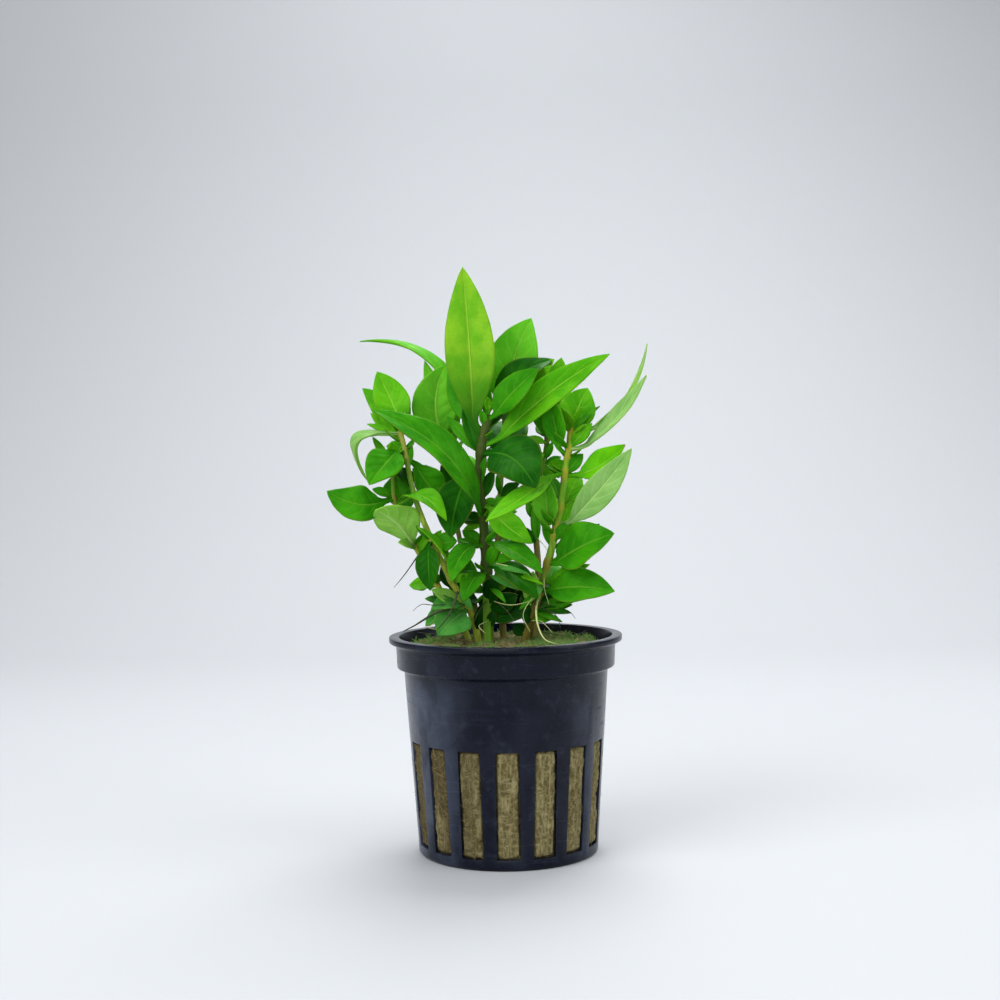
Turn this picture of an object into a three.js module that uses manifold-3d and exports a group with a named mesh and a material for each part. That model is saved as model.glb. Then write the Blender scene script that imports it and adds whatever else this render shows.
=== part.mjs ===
// A Staurogyne repens in its small net pot: a slotted plastic pot, the plug of mineral wool
// in it, seven stems and the leaves on them. Millimetres, +Z up. The pot stands on z = 0 with
// its axis on x = y = 0, and the plant's best side looks along -Y.

import * as THREE from 'three';
import { mergeVertices } from 'three/addons/utils/BufferGeometryUtils.js';
import Module from 'manifold-3d';

const wasm = await Module();
wasm.setup();

// Pot
const potHeight = 50;
const lipRadius = 27;
const lipHeight = 1.2;
const collarRadius = 25.4;
const collarHeight = 7;
const bodyTopRadius = 23.6;
const bodyBottomRadius = 20.8;
const shoulder = 0.8;
const draft = 0.2;
const wall = 0.9;
const floorThickness = 1.4;
const potSides = 64;

// Slots in the pot's side, and drain slots in its floor
const slotCount = 16;
const slotWidth = 5.2;
const slotBottom = 2.6;
const slotTop = 26.5;
const slotDepth = 9;
const drainCount = 8;
const drainWidth = 3;
const drainInner = 9;
const drainOuter = 16;

// Wool
const gap = 0.3;
const woolTop = 48;
const woolLump = 0.7;
const woolRim = 1.6;
const woolRings = [17, 11, 5];
const woolSides = 32;
const socketDepth = 5;

// Stems
const stemSides = 8;
const stemStep = 4.5;
const stemThinning = 0.35;
const stemTip = 0.5;
const nodeSwelling = 0.22;
const nodeSpacing = 9;

// Leaves
const leafSteps = 8;
const leafGap = 0.5;
const leafThickness = 0.8;
const tipThickness = 0.4;
const foldAngle = THREE.MathUtils.degToRad(14);
const topLeafHeight = 100;

const plastic = { color: 0x15181f, roughness: 0.45, metalness: 0 };
const mineralWool = { color: 0x8d7a45, roughness: 1, metalness: 0 };
const bark = { color: 0x6b6a2c, roughness: 0.6, metalness: 0 };
const topGreen = 0x7db33a;
const frontGreen = 0x4f9a2b;
const backGreen = 0x2f7d22;

// Each stem goes through these points, from its foot in the wool to its top.
const stems = {
  main: {
    radius: 1.25,
    path: [[-4, 0, 49], [-4, 0, 58.5], [-4.5, -1, 72.5], [-5.5, -2, 88], [-4.5, -2, 95.5], [-3, -1, 101]],
  },
  left: {
    radius: 0.8,
    path: [
      [-6.5, 3, 49], [-8.5, 2, 56], [-11.5, 0, 61], [-17, -2, 73], [-20.5, -2, 82.5],
      [-22.5, 0, 92], [-24, 2, 98],
    ],
  },
  left_low: {
    radius: 0.7,
    path: [
      [-9, 6.5, 49], [-11.5, 6, 54], [-15, 4.5, 60], [-20, 3, 69], [-24, 1, 78],
      [-25.3, 0, 82], [-25.5, -0.5, 90],
    ],
  },
  right: {
    radius: 1,
    path: [[4.5, -1.5, 49], [7, -3.5, 57], [10, -5, 67], [12.5, -5, 77], [14.5, -4, 89], [16, -2, 97.5]],
  },
  right_back: {
    radius: 0.85,
    path: [[6.5, 6, 49], [8, 8, 63.5], [7.5, 9, 77], [9, 9, 86], [10.5, 9.5, 94], [11, 10, 100]],
  },
  back: {
    radius: 0.8,
    path: [[-0.5, 7, 49], [-1.5, 10, 68], [-0.5, 11.5, 86], [0.5, 10, 98], [1, 9, 104]],
  },
  back_left: {
    radius: 0.7,
    path: [[-6, 10, 49], [-9.5, 12, 66], [-12, 12, 80], [-12.5, 10.5, 92], [-12, 9.5, 96]],
  },
};

// Each leaf leaves its stem at the height "at" and ends at "tip". Its upper side looks along
// "face". "arch" lifts its middle towards that side, and "sweep" moves it to the right of
// someone who looks at that side with the tip up.
const leaves = {
  main: [
    { at: 95.5, tip: [-8.7, 1.5, 135.5], face: [0, -1, 0.1], width: 11.4, sweep: -0.1 },
    { at: 97, tip: [-12.5, 5, 112], face: [-0.6, -0.7, 0.3], width: 7 },
    { at: 99.5, tip: [8.5, -8, 111], face: [-0.1, -0.9, 0.5], width: 7.5, arch: 1 },
    { at: 93.5, tip: [24.5, -9, 114], face: [-0.3, -0.9, 0.3], width: 7.5, sweep: -1.35 },
    { at: 77, tip: [-29, -15, 102], face: [0.45, -0.7, 0.55], width: 9.5, arch: 6.3 },
    { at: 92, tip: [7.3, -13, 84], face: [0.1, -0.9, 0.45], width: 13, arch: 2.5, sweep: -1.7 },
    { at: 71.5, tip: [8.5, -14, 65], face: [0.1, -0.6, 0.8], width: 6, arch: 1.5 },
    { at: 66, tip: [7.5, -11, 59], face: [0.1, -0.7, 0.7], width: 6.5, arch: 2.5 },
    { at: 88, tip: [-12, -7, 73], face: [-0.3, -0.9, 0.3], width: 9.5, sweep: 1.6 },
    { at: 71, tip: [-12, -9.5, 63], face: [-0.3, -0.9, 0.4], width: 5.5, arch: 2, sweep: 1.2 },
    { at: 64.5, tip: [-9.5, -8.5, 58.5], face: [-0.2, -0.8, 0.6], width: 5.5, arch: 2 },
    { at: 80, tip: [6.5, -8.5, 71.5], face: [0.2, -0.9, 0.4], width: 6.6, sweep: 0.7 },
  ],
  left: [
    { at: 96.5, tip: [-29.3, 6, 111.8], face: [0.2, -1, 0.1], width: 8.2, sweep: 0.55 },
    { at: 95, tip: [-33, 8, 108], face: [0.2, -0.9, 0.4], width: 6, sweep: 1.2 },
    { at: 97, tip: [-31.5, 3, 86], face: [-0.7, -0.4, 0.8], width: 6.8, arch: 6.9 },
    { at: 93, tip: [-30.5, -7.5, 85.3], face: [-0.2, -0.9, 0.4], width: 9, arch: 1 },
    { at: 91, tip: [-12.5, 4, 79.5], face: [0.5, -0.8, 0.4], width: 8.5, sweep: 0.6 },
    { at: 62.5, tip: [-19.5, -7.5, 75.5], face: [0.6, -0.3, 0.7], width: 5, arch: 1.5 },
    { at: 72, tip: [-17, -7, 61], face: [-0.3, -0.9, 0.2], width: 6, arch: 1 },
    { at: 57.5, tip: [-17, -5, 56.5], face: [0, -0.7, 0.7], width: 5, arch: 1 },
    { at: 56, tip: [-15.5, -5, 50.5], face: [0, -0.9, 0.5], width: 9.5, arch: 1 },
  ],
  left_low: [
    { at: 80.5, tip: [-12.8, -11, 77], face: [0.3, -0.6, 0.8], width: 6.5, arch: 4 },
    { at: 82, tip: [-40.5, -3.5, 84], face: [0.1, -0.95, 0.3], width: 8.5, arch: 1, sweep: -2.6 },
    { at: 88, tip: [-23, 7, 79], face: [-0.3, -0.8, 0.3], width: 8 },
    { at: 71, tip: [-28.9, -9, 79.6], face: [0.2, 0.9, 0.35], width: 10.4, arch: 1.2, sweep: -0.6 },
    { at: 61.5, tip: [-22.5, 6, 61.3], face: [-0.1, -0.6, 0.8], width: 5 },
    { at: 54.5, tip: [-18.5, -1, 52.3], face: [-0.2, -0.7, 0.7], width: 5, arch: 1 },
  ],
  right: [
    { at: 95.5, tip: [20.2, 4, 107], face: [-0.1, -1, 0.1], width: 8.6, sweep: -0.6 },
    { at: 96.5, tip: [34.5, 7.5, 117.5], face: [-0.5, 0.2, 0.8], width: 5, arch: -4.4 },
    { at: 92.5, tip: [33, -6, 109.3], face: [-0.5, -0.5, 0.7], width: 5.6, arch: -2.4 },
    { at: 91, tip: [10, -4, 106], face: [-0.5, -0.8, 0.3], width: 5.5 },
    { at: 86.5, tip: [27.5, -11, 93.5], face: [-0.2, -0.7, 0.6], width: 7.4, arch: -1.6, sweep: 0.4 },
    { at: 87, tip: [-4, -19, 77], face: [0.1, -0.5, 0.85], width: 5.5 },
    { at: 75, tip: [28.6, -15, 92.6], face: [0.1, -0.95, 0.1], width: 6.9, sweep: 1.05 },
    { at: 66.5, tip: [24.5, -15, 73.8], face: [-0.3, -0.8, 0.5], width: 11.2, arch: 1, sweep: 0.1 },
    { at: 60.5, tip: [24.5, -14, 60.8], face: [0, -0.85, 0.5], width: 9, arch: 2 },
    { at: 73, tip: [9, -5.5, 87], face: [-0.5, -0.8, 0.1], width: 6.5 },
    { at: 79, tip: [18, 3, 87], face: [-0.3, -0.9, 0.3], width: 5.5 },
  ],
  right_back: [
    { at: 97.5, tip: [14.5, 14, 115], face: [-0.2, -1, 0.2], width: 7.5 },
    { at: 95.5, tip: [8.5, 7, 107], face: [-0.2, -0.9, 0.3], width: 4.5 },
    { at: 80, tip: [14, 25, 86], face: [-0.4, -0.2, 0.9], width: 9, arch: 3 },
    { at: 58.5, tip: [18, 20, 62.5], face: [0.2, 0.2, 0.9], width: 9, arch: 2.5 },
  ],
  back: [
    { at: 101, tip: [7.3, 8, 124], face: [-0.1, -1, 0.1], width: 12.4, sweep: -1.4 },
    { at: 100, tip: [12.5, 7, 114], face: [0.1, -0.7, 0.7], width: 8, arch: 7.5 },
    { at: 88, tip: [3, 27, 100], face: [0, -0.4, 0.9], width: 10, arch: 3 },
    { at: 70, tip: [0.5, 27, 70], face: [0, 0.3, 0.9], width: 10, arch: 4 },
  ],
  back_left: [
    { at: 92.5, tip: [-34.2, 16.5, 119.8], face: [0.6, -0.36, 0.7], width: 7, arch: 10.8 },
    { at: 94.5, tip: [-13.3, 4.7, 113], face: [-0.1, -1, 0.1], width: 11, sweep: -2.5 },
    { at: 82, tip: [-12, 27, 92], face: [0.3, -0.4, 0.9], width: 9, arch: 3 },
    { at: 62, tip: [-20, 22, 62], face: [-0.2, 0.3, 0.9], width: 9, arch: 4 },
  ],
};

// Each step along a leaf, from its foot to its tip: how far along it is, and how wide it is
// there, as shares of the leaf's length and width
const bladeOutline = [
  [0, 0.14], [0.1, 0.2], [0.2, 0.52], [0.34, 0.88], [0.48, 1], [0.63, 0.93], [0.78, 0.68], [0.92, 0.3],
  [1, 0],
];

// The same shape with shared corners, whose normals suit its flat faces
function welded(geometry) {
  geometry.deleteAttribute('normal');
  geometry.deleteAttribute('uv');
  const shape = mergeVertices(geometry, 1e-3);
  shape.computeVertexNormals();
  return shape;
}

function solidOf(geometry) {
  const shape = welded(geometry);
  return new wasm.Manifold(new wasm.Mesh({
    numProp: 3,
    vertProperties: new Float32Array(shape.attributes.position.array),
    triVerts: new Uint32Array(shape.index.array),
  }));
}

function geometryOf(solid) {
  const mesh = solid.getMesh();
  const geometry = new THREE.BufferGeometry();
  geometry.setAttribute('position', new THREE.BufferAttribute(new Float32Array(mesh.vertProperties), 3));
  geometry.setIndex(new THREE.BufferAttribute(new Uint32Array(mesh.triVerts), 1));
  geometry.computeVertexNormals();
  return geometry;
}

// Turns a profile of [radius, height] points, from the axis to the axis, about Z.
function turned(profile, sides) {
  const points = profile.map(([radius, height]) => new THREE.Vector2(radius, height));
  return new THREE.LatheGeometry(points, sides).rotateX(Math.PI / 2);
}

// Upright boxes in a ring about Z, each "width" across, between two radii and two heights
function ringOfBoxes(count, width, inner, outer, bottom, top) {
  const boxes = [];
  for (let i = 0; i < count; i++) {
    const box = new THREE.BoxGeometry(outer - inner, width, top - bottom);
    box.translate((inner + outer) / 2, 0, (bottom + top) / 2);
    boxes.push(solidOf(box.rotateZ((2 * Math.PI * i) / count)));
  }
  return boxes.reduce((all, box) => all.add(box));
}

const collarBottom = potHeight - collarHeight;
const slotInner = lipRadius - slotDepth;

// The pot's outer side, from its base to the step under the collar
const bodyOutside = [
  [0, 0],
  [bodyBottomRadius - 0.5, 0],
  [bodyBottomRadius, 0.6],
  [bodyTopRadius, collarBottom - shoulder],
];

function makePot() {
  const outline = [
    ...bodyOutside,
    [collarRadius - draft, collarBottom],
    [collarRadius, potHeight - lipHeight - shoulder],
    [lipRadius, potHeight - lipHeight],
    [lipRadius, potHeight],
    [collarRadius - wall + draft, potHeight],
    [collarRadius - wall - draft, collarBottom + wall],
    [bodyTopRadius - wall, collarBottom - shoulder + wall / 2],
    [bodyBottomRadius - wall, floorThickness],
    [0, floorThickness],
  ];
  const slots = ringOfBoxes(slotCount, slotWidth, slotInner, lipRadius, slotBottom, slotTop);
  const drains = ringOfBoxes(drainCount, drainWidth, drainInner, drainOuter, -1, floorThickness + 1);
  return geometryOf(solidOf(turned(outline, potSides)).subtract(slots).subtract(drains));
}

// Low lumps on the wool, from two waves across it
function lumps(x, y) {
  const broad = Math.sin(x * 0.55 + 0.8) * Math.cos(y * 0.5);
  const fine = Math.sin(x * 0.23 - y * 0.9);
  return woolLump * (0.6 * broad + 0.4 * fine);
}

function makeWool() {
  const bottomRadius = bodyBottomRadius - wall - gap;
  const topRadius = bodyTopRadius - wall - gap;
  const top = turned(
    [
      [0, floorThickness + gap],
      [bottomRadius, floorThickness + gap],
      [topRadius, collarBottom - shoulder],
      [topRadius, woolTop - woolRim],
      [topRadius - woolRim, woolTop],
      ...woolRings.map((radius) => [radius, woolTop]),
      [0, woolTop],
    ],
    woolSides,
  );
  const corner = top.attributes.position;
  for (let i = 0; i < corner.count; i++) {
    if (corner.getZ(i) === woolTop) {
      corner.setZ(i, woolTop + lumps(corner.getX(i), corner.getY(i)));
    }
  }
  const bulgeBottom = slotBottom + gap;
  const bulgeTop = slotTop - gap;
  const bulgeWidth = slotWidth - 2 * gap;
  const bulges = ringOfBoxes(slotCount, bulgeWidth, slotInner, lipRadius, bulgeBottom, bulgeTop);
  const bodyInside = turned([...bodyOutside, [0, collarBottom]], potSides);
  const sockets = Object.values(stems).map((stem) => {
    const [x, y] = stem.path[0];
    const hole = new THREE.CylinderGeometry(stem.radius + gap, stem.radius + gap, 2 * socketDepth, stemSides);
    return solidOf(hole.rotateX(Math.PI / 2).translate(x, y, woolTop));
  });
  const plug = solidOf(top).add(bulges.intersect(solidOf(bodyInside)));
  return geometryOf(sockets.reduce((wool, socket) => wool.subtract(socket), plug));
}

// Bends a unit cylinder: "place" gives the point for a share of its length and a place across it.
function bent(cylinder, place) {
  const corner = cylinder.attributes.position;
  for (let i = 0; i < corner.count; i++) {
    const point = place(corner.getY(i) + 0.5, corner.getX(i), corner.getZ(i));
    corner.setXYZ(i, point.x, point.y, point.z);
  }
  return welded(cylinder);
}

// The curve of a stem, with a straight foot down in its socket
function stemCurve(stem) {
  const points = stem.path.map((point) => new THREE.Vector3(...point));
  const foot = points[0].clone().setZ(woolTop - socketDepth + 2 * gap);
  return new THREE.CatmullRomCurve3([foot, ...points], false, 'centripetal');
}

// A stem's radius at a share of its length: it thins towards the top and swells at its nodes.
function stemRadius(stem, share, length) {
  const swelling = Math.max(0, Math.cos((2 * Math.PI * share * length) / nodeSpacing)) ** 6;
  const end = share < 1 ? 1 : stemTip;
  return stem.radius * (1 - stemThinning * share) * (1 + nodeSwelling * swelling) * end;
}

function makeStem(stem) {
  const curve = stemCurve(stem);
  const length = curve.getLength();
  const rod = new THREE.CylinderGeometry(1, 1, 1, stemSides, Math.ceil(length / stemStep));
  return bent(rod, (share, across, outward) => {
    const forward = curve.getTangentAt(share);
    const side = new THREE.Vector3(0, 1, 0).cross(forward).normalize();
    const radius = stemRadius(stem, share, length);
    return curve
      .getPointAt(share)
      .addScaledVector(side, across * radius)
      .addScaledVector(forward.clone().cross(side), -outward * radius);
  });
}

// The share of a stem's length at which it passes a height
function shareAt(curve, height) {
  const steps = 200;
  for (let i = 0; i < steps; i++) {
    if (curve.getPointAt(i / steps).z >= height) {
      return i / steps;
    }
  }
  return 1;
}

// The midrib starts beside the stem and passes the leaf's middle on its way to the tip.
function leafMidrib(stem, leaf, upper) {
  const curve = stemCurve(stem);
  const share = shareAt(curve, leaf.at);
  const node = curve.getPointAt(share);
  const end = new THREE.Vector3(...leaf.tip);
  const chord = end.clone().sub(node).normalize();
  upper.projectOnPlane(chord).normalize();
  const side = chord.clone().cross(upper);
  const middle = node.clone().lerp(end, 0.5);
  middle.addScaledVector(upper, 2 * (leaf.arch ?? 0));
  middle.addScaledVector(side, 2 * (leaf.sweep ?? 0));
  const out = middle.clone().sub(node).projectOnPlane(curve.getTangentAt(share)).normalize();
  const start = node.addScaledVector(out, stem.radius + leafGap + leafThickness / 2);
  return new THREE.QuadraticBezierCurve3(start, middle, end);
}

function makeLeaf(stem, leaf) {
  const upper = new THREE.Vector3(...leaf.face);
  const midrib = leafMidrib(stem, leaf, upper);
  const blade = new THREE.CylinderGeometry(0, 1, 1, 4, leafSteps);
  return bent(blade, (length, across, outward) => {
    const [place, share] = bladeOutline[Math.round(length * leafSteps)];
    const halfWidth = (leaf.width / 2) * share;
    const halfThickness = THREE.MathUtils.lerp(leafThickness, tipThickness, place) / 2;
    const forward = midrib.getTangent(place);
    const normal = upper.clone().projectOnPlane(forward).normalize();
    const right = forward.clone().cross(normal);
    const radius = 1 - length || 1;
    const fold = Math.abs(across / radius) * halfWidth * Math.tan(foldAngle);
    return midrib
      .getPoint(place)
      .addScaledVector(right, (across / radius) * halfWidth)
      .addScaledVector(normal, (outward / radius) * halfThickness + fold);
  });
}

const plant = new THREE.Group();

function addMesh(name, geometry, look) {
  const mesh = new THREE.Mesh(geometry, new THREE.MeshStandardMaterial(look));
  mesh.name = name;
  plant.add(mesh);
}

function leafColor([, y, z]) {
  if (z > topLeafHeight) {
    return topGreen;
  }
  return y < 0 ? frontGreen : backGreen;
}

addMesh('pot', makePot(), plastic);
addMesh('wool', makeWool(), mineralWool);
for (const [name, stem] of Object.entries(stems)) {
  addMesh(`stem_${name}`, makeStem(stem), bark);
  leaves[name].forEach((leaf, i) => {
    const look = { color: leafColor(leaf.tip), roughness: 0.5, metalness: 0 };
    addMesh(`leaf_${name}_${i + 1}`, makeLeaf(stem, leaf), look);
  });
}

export default plant;
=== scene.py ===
# Looks of a potted Staurogyne repens: fine leaves, stems, roots, mossy wool and a satin net pot,
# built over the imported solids. Metres, +Z up, the best side looks along -Y.
import itertools
import math
import random

import bmesh
import bpy
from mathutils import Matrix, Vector, noise


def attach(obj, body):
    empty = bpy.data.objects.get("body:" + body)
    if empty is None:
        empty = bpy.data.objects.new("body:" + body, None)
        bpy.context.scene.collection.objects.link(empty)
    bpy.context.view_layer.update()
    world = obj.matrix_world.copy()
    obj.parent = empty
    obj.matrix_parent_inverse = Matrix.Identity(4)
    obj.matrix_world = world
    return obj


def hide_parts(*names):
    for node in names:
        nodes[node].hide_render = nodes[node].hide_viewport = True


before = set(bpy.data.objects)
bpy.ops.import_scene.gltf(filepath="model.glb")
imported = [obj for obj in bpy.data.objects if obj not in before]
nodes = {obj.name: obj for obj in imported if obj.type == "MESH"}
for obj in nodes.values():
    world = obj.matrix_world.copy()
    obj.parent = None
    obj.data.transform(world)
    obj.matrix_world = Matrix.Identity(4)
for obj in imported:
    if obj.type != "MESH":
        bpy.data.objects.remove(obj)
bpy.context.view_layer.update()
mm = 0.001
print("frame loaded,", len(nodes), "solids")


def deselectAll():
    for thing in bpy.context.selected_objects:
        thing.select_set(False)


def useOnly(thing):
    deselectAll()
    thing.select_set(True)
    bpy.context.view_layer.objects.active = thing


def applyModifier(thing, kind, **settings):
    useOnly(thing)
    bpy.ops.object.modifier_add(type=kind)
    modifier = thing.modifiers[-1]
    for name, value in settings.items():
        setattr(modifier, name, value)
    bpy.ops.object.modifier_apply(modifier=modifier.name)


def joined(pieces, name):
    useOnly(pieces[0])
    for piece in pieces:
        piece.select_set(True)
    bpy.ops.object.join()
    pieces[0].name = name
    return pieces[0]


def weld(thing, distance):  # stays in edit mode
    useOnly(thing)
    bpy.ops.object.mode_set(mode="EDIT")
    bpy.ops.mesh.select_all(action="SELECT")
    bpy.ops.mesh.remove_doubles(threshold=distance)


def plainMaterial(name, look):
    material = bpy.data.materials.new(name)
    material.use_nodes = True
    shader = material.node_tree.nodes["Principled BSDF"]
    shader.inputs["Base Color"].default_value = look["color"]
    shader.inputs["Roughness"].default_value = look["roughness"]
    return material


# camera, backdrop and lights

cameraSetup = {  # metres for the place, millimetres for lens and sensor, degrees for the rest
    "place": (0, -0.35, 0.089), "lens": 54.36, "sensor": 36, "down": 1.271, "left": 0.13, "lean": -0.888,
}


def addCamera(setup):
    bpy.ops.object.camera_add(location=setup["place"])
    camera = bpy.context.object
    camera.data.lens = setup["lens"]
    camera.data.sensor_width = setup["sensor"]
    camera.rotation_euler = (math.radians(90 - setup["down"]), 0, math.radians(setup["left"]))
    camera.rotation_euler.rotate_axis("Z", math.radians(setup["lean"]))
    bpy.context.scene.camera = camera


backdropSetup = {
    "width": 3, "front": 1.2, "back": 0.7, "height": 1.6, "bend": 0.35, "bendSteps": 24,
    "color": (0.395, 0.411, 0.432, 1), "roughness": 0.7,
}


def addBackdrop(setup):
    deselectAll()
    depth = setup["front"] + setup["back"]
    middle = (setup["back"] - setup["front"]) / 2
    bpy.ops.mesh.primitive_plane_add(size=1, location=(0, middle, 0))
    backdrop = bpy.context.object
    backdrop.name = "backdrop"
    backdrop.scale = (setup["width"], depth, 1)
    bpy.ops.object.transform_apply(location=True, scale=True)
    mesh = bmesh.new()
    mesh.from_mesh(backdrop.data)
    far = [edge for edge in mesh.edges if all(end.co.y > 0 for end in edge.verts)]
    raised = bmesh.ops.extrude_edge_only(mesh, edges=far)["geom"]
    for vertex in raised:
        if isinstance(vertex, bmesh.types.BMVert):
            vertex.co.z += setup["height"]
    mesh.to_mesh(backdrop.data)
    mesh.free()
    applyModifier(backdrop, "BEVEL", width=setup["bend"], segments=setup["bendSteps"], limit_method="ANGLE")
    bpy.ops.object.shade_smooth()
    backdrop.data.materials.append(plainMaterial("backdrop", setup))


lightSetup = [
    {"name": "key", "place": (-0.45, -0.40, 0.55), "size": 0.45, "power": 4.5},
    {"name": "fill", "place": (0.60, -0.25, 0.30), "size": 0.50, "power": 2.2},
    {"name": "top", "place": (0.05, -0.05, 0.80), "size": 0.60, "power": 2.7},
    {"name": "back", "place": (0.10, 0.35, 0.70), "size": 0.50, "power": 6.3},
    {"name": "low", "place": (-0.15, -0.60, 0.12), "size": 0.60, "power": 2.3},
]
lightAim = (0, 0, 0.08)  # the middle of the plant
worldSetup = {"color": (0.93, 0.96, 1, 1), "strength": 0.3}


def addLights(setup):
    for light in setup:
        bpy.ops.object.light_add(type="AREA", location=light["place"])
        lamp = bpy.context.object
        lamp.name = light["name"]
        lamp.data.size = light["size"]
        lamp.data.energy = light["power"]
        aim = Vector(lightAim) - lamp.location
        lamp.rotation_euler = aim.to_track_quat("-Z", "Y").to_euler()
    world = bpy.data.worlds.new("studio")
    world.use_nodes = True
    background = world.node_tree.nodes["Background"]
    background.inputs["Color"].default_value = worldSetup["color"]
    background.inputs["Strength"].default_value = worldSetup["strength"]
    bpy.context.scene.world = world
    bpy.context.scene.view_settings.view_transform = "Standard"


addCamera(cameraSetup)
addBackdrop(backdropSetup)
addLights(lightSetup)
print("camera, backdrop and lights set")


# node helpers

def paint(red, green, blue):  # a screen colour, 0 to 255
    return tuple((value / 255) ** 2.2 for value in (red, green, blue)) + (1,)


def plug(tree, value, socket):
    if isinstance(value, bpy.types.NodeSocket):
        tree.links.new(value, socket)
    else:
        socket.default_value = value


def mathNode(tree, operation, *values):
    node = tree.nodes.new("ShaderNodeMath")
    node.operation = operation
    for value, socket in zip(values, node.inputs):
        plug(tree, value, socket)
    return node.outputs[0]


def ramp(tree, value, low, high, lowOut=0.0, highOut=1.0):  # a soft step between two values
    node = tree.nodes.new("ShaderNodeMapRange")
    node.interpolation_type = "SMOOTHSTEP"
    for socket, number in zip(node.inputs, (value, low, high, lowOut, highOut)):
        plug(tree, number, socket)
    return node.outputs[0]


def mixColors(tree, share, first, second, blend="MIX"):
    node = tree.nodes.new("ShaderNodeMix")
    node.data_type = "RGBA"
    node.blend_type = blend
    plug(tree, share, node.inputs[0])
    plug(tree, first, node.inputs[6])
    plug(tree, second, node.inputs[7])
    return node.outputs[2]


def placeNode(tree, axis):  # the place along an axis, in metres
    split = tree.nodes.new("ShaderNodeSeparateXYZ")
    tree.links.new(tree.nodes.new("ShaderNodeTexCoord").outputs["Object"], split.inputs[0])
    return split.outputs[axis]


def noiseNode(tree, scale, detail=3.0, stretch=(1, 1, 1), roughness=0.5):
    place = tree.nodes.new("ShaderNodeTexCoord").outputs["Object"]
    mapping = tree.nodes.new("ShaderNodeMapping")
    mapping.inputs["Scale"].default_value = stretch
    tree.links.new(place, mapping.inputs["Vector"])
    node = tree.nodes.new("ShaderNodeTexNoise")
    node.inputs["Scale"].default_value = scale
    node.inputs["Detail"].default_value = detail
    node.inputs["Roughness"].default_value = roughness
    tree.links.new(mapping.outputs[0], node.inputs["Vector"])
    return node.outputs["Fac"]


def newGroup(name, inputs):
    tree = bpy.data.node_groups.new(name, "ShaderNodeTree")
    for label, value in inputs.items():
        kind = "NodeSocketColor" if isinstance(value, tuple) else "NodeSocketFloat"
        tree.interface.new_socket(label, in_out="INPUT", socket_type=kind).default_value = value
    return tree, tree.nodes.new("NodeGroupInput").outputs


def endGroup(tree, results):
    for label in results:
        kind = "NodeSocketColor" if label == "Color" else "NodeSocketFloat"
        tree.interface.new_socket(label, in_out="OUTPUT", socket_type=kind)
    ends = tree.nodes.new("NodeGroupOutput").inputs
    for label, value in results.items():
        tree.links.new(value, ends[label])
    return tree


# A finish is a roughness, a specular level, the strength of the relief and its depth.
# The pattern's dull patches are rougher than that, and the rest is smoother.
dullSetup = {"spread": 0.25, "drop": 0.12}


def newMaterial(name, group, values, finish):
    material = bpy.data.materials.new(name)
    material.use_nodes = True
    tree = material.node_tree
    shader = tree.nodes["Principled BSDF"]
    pattern = tree.nodes.new("ShaderNodeGroup")
    pattern.node_tree = group
    for label, value in values.items():
        pattern.inputs[label].default_value = value
    relief = tree.nodes.new("ShaderNodeBump")
    relief.inputs["Strength"].default_value = finish["relief"]
    relief.inputs["Distance"].default_value = finish["depth"]
    tree.links.new(pattern.outputs["Height"], relief.inputs["Height"])
    tree.links.new(relief.outputs[0], shader.inputs["Normal"])
    tree.links.new(pattern.outputs["Color"], shader.inputs["Base Color"])
    smoothest = finish["roughness"] - dullSetup["drop"]
    gloss = mathNode(tree, "MULTIPLY_ADD", pattern.outputs["Dullness"], dullSetup["spread"], smoothest)
    tree.links.new(gloss, shader.inputs["Roughness"])
    shader.inputs["Specular IOR Level"].default_value = finish["specular"]
    return material


# leaf materials: the UV runs across the leaf and from its foot to its tip

# side veins bow from the midrib towards the tip; the blade's relief and its colour share them
veinSetup = {"pairs": 7, "bow": 0.24, "curve": 1.3}


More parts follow.
